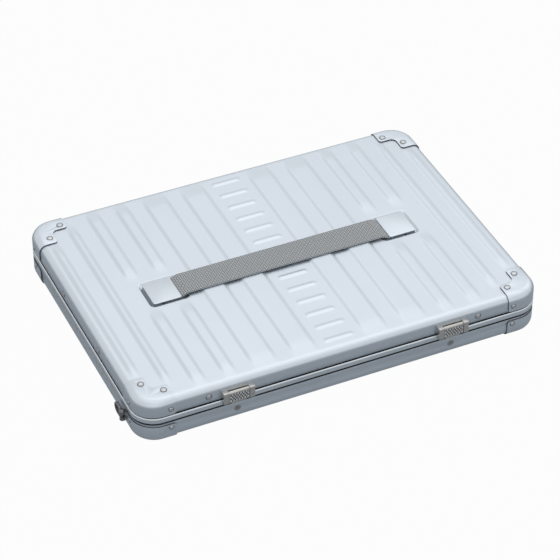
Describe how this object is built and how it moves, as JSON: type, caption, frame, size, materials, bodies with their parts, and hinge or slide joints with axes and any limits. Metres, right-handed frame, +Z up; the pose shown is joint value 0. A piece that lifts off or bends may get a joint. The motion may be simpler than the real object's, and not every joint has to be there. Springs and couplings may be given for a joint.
{
  "type": "laptop hard case",
  "caption": "Slim hard case for a laptop: a ribbed metal lid hinged to a shallow base, with corner caps, front latches, a flat strap handle and swinging rings for a shoulder strap.",
  "frame": {"origin": "middle of the footprint, on the surface the base's corner caps rest on, with the closed case lying flat", "axes": "+X to the right along the front, +Y towards the hinged back, +Z up; the latches are on the -Y side"},
  "size_m": [0.403, 0.2904, 0.0482],
  "materials": {
    "base_shell": "satin",
    "base_frame": "satin",
    "base_corner_caps": "satin",
    "base_cap_rivets": "satin",
    "base_side_rivets": "satin",
    "base_foam_tray": "foam",
    "base_hinge_leaves": "satin",
    "hinge_pins": "satin",
    "base_hinge_rivets": "satin",
    "latch_keepers": "nickel plated, satin",
    "lock_barrels": "dark plated, satin",
    "lock_nuts": "satin",
    "lock_plug_left": "satin",
    "lock_plug_right": "satin",
    "ring_posts": "dark plated, satin",
    "ring_pins": "satin",
    "strap_ring_left": "dark plated, satin",
    "strap_ring_right": "dark plated, satin",
    "lid_shell": "satin",
    "lid_frame": "satin",
    "lid_seal": "matt",
    "lid_corner_caps": "satin",
    "lid_cap_rivets": "satin",
    "lid_side_rivets": "satin",
    "lid_frame_rivets": "satin",
    "lid_foam_pad": "foam",
    "lid_hinge_leaves": "satin",
    "lid_hinge_rivets": "satin",
    "latch_housings": "nickel plated, satin",
    "latch_rivets": "satin",
    "latch_pins": "satin",
    "latch_flap_left": "nickel plated, satin",
    "latch_flap_right": "nickel plated, satin",
    "strap_plates": "nickel plated, satin",
    "strap_backing_plates": "satin",
    "strap_fixed_end": "woven webbing",
    "strap_left_half": "woven webbing",
    "strap_right_half": "woven webbing",
    "strap_sliding_end": "woven webbing"
  },
  "bodies": {
    "base": {"base_shell": "base_shell", "base_frame": "base_frame", "base_corner_caps": "base_corner_caps", "base_cap_rivets": "base_cap_rivets", "base_side_rivets": "base_side_rivets", "base_foam_tray": "base_foam_tray", "base_hinge_leaves": "base_hinge_leaves", "hinge_pins": "hinge_pins", "base_hinge_rivets": "base_hinge_rivets", "latch_keepers": "latch_keepers", "lock_barrels": "lock_barrels", "lock_nuts": "lock_nuts", "ring_posts": "ring_posts", "ring_pins": "ring_pins"},
    "lid": {"lid_shell": "lid_shell", "lid_frame": "lid_frame", "lid_seal": "lid_seal", "lid_corner_caps": "lid_corner_caps", "lid_cap_rivets": "lid_cap_rivets", "lid_side_rivets": "lid_side_rivets", "lid_frame_rivets": "lid_frame_rivets", "lid_foam_pad": "lid_foam_pad", "lid_hinge_leaves": "lid_hinge_leaves", "lid_hinge_rivets": "lid_hinge_rivets", "latch_housings": "latch_housings", "latch_rivets": "latch_rivets", "latch_pins": "latch_pins", "strap_plates": "strap_plates", "strap_backing_plates": "strap_backing_plates", "strap_fixed_end": "strap_fixed_end"},
    "left_latch_flap": {"latch_flap_left": "latch_flap_left"},
    "right_latch_flap": {"latch_flap_right": "latch_flap_right"},
    "strap_left": {"strap_left_half": "strap_left_half"},
    "strap_right": {"strap_right_half": "strap_right_half"},
    "strap_end": {"strap_sliding_end": "strap_sliding_end"},
    "left_ring": {"strap_ring_left": "strap_ring_left"},
    "right_ring": {"strap_ring_right": "strap_ring_right"},
    "left_lock_plug": {"lock_plug_left": "lock_plug_left"},
    "right_lock_plug": {"lock_plug_right": "lock_plug_right"}
  },
  "joints": [
    {"name": "lid_hinge", "type": "hinge", "parent": "base", "child": "lid", "pos_m": [0, 0.14335, 0.02225], "axis": [-1, 0, 0], "range_deg": [0, 105]},
    {"name": "left_latch_pivot", "type": "hinge", "parent": "lid", "child": "left_latch_flap", "pos_m": [-0.1042, -0.1431, 0.0355], "axis": [-1, 0, 0], "range_deg": [0, 100]},
    {"name": "right_latch_pivot", "type": "hinge", "parent": "lid", "child": "right_latch_flap", "pos_m": [0.1042, -0.1431, 0.0355], "axis": [-1, 0, 0], "range_deg": [0, 100]},
    {"name": "left_lock_turn", "type": "hinge", "parent": "base", "child": "left_lock_plug", "pos_m": [-0.1042, -0.14, 0.0133], "axis": [0, -1, 0], "range_deg": [0, 90]},
    {"name": "right_lock_turn", "type": "hinge", "parent": "base", "child": "right_lock_plug", "pos_m": [0.1042, -0.14, 0.0133], "axis": [0, -1, 0], "range_deg": [0, 90]},
    {"name": "left_ring_swing", "type": "hinge", "parent": "base", "child": "left_ring", "pos_m": [-0.1989, -0.1076, 0.0137], "axis": [0, 0, 1], "range_deg": [0, 170]},
    {"name": "right_ring_swing", "type": "hinge", "parent": "base", "child": "right_ring", "pos_m": [0.1989, -0.1076, 0.0137], "axis": [0, 0, -1], "range_deg": [0, 170]},
    {"name": "strap_lift", "type": "hinge", "parent": "lid", "child": "strap_left", "pos_m": [-0.086, -0.0016, 0.0482], "axis": [0, -1, 0], "range_deg": [0, 14]},
    {"name": "strap_middle_bend", "type": "hinge", "parent": "strap_left", "child": "strap_right", "pos_m": [0, -0.0016, 0.0466], "axis": [0, -1, 0], "range_deg": [-28, 0]},
    {"name": "strap_end_bend", "type": "hinge", "parent": "strap_right", "child": "strap_end", "pos_m": [0.086, -0.0016, 0.0482], "axis": [0, -1, 0], "range_deg": [0, 14]}
  ],
  "couplings": [
    {"joint": "strap_middle_bend", "follows": "strap_lift", "ratio": -2},
    {"joint": "strap_end_bend", "follows": "strap_lift", "ratio": 1}
  ]
}
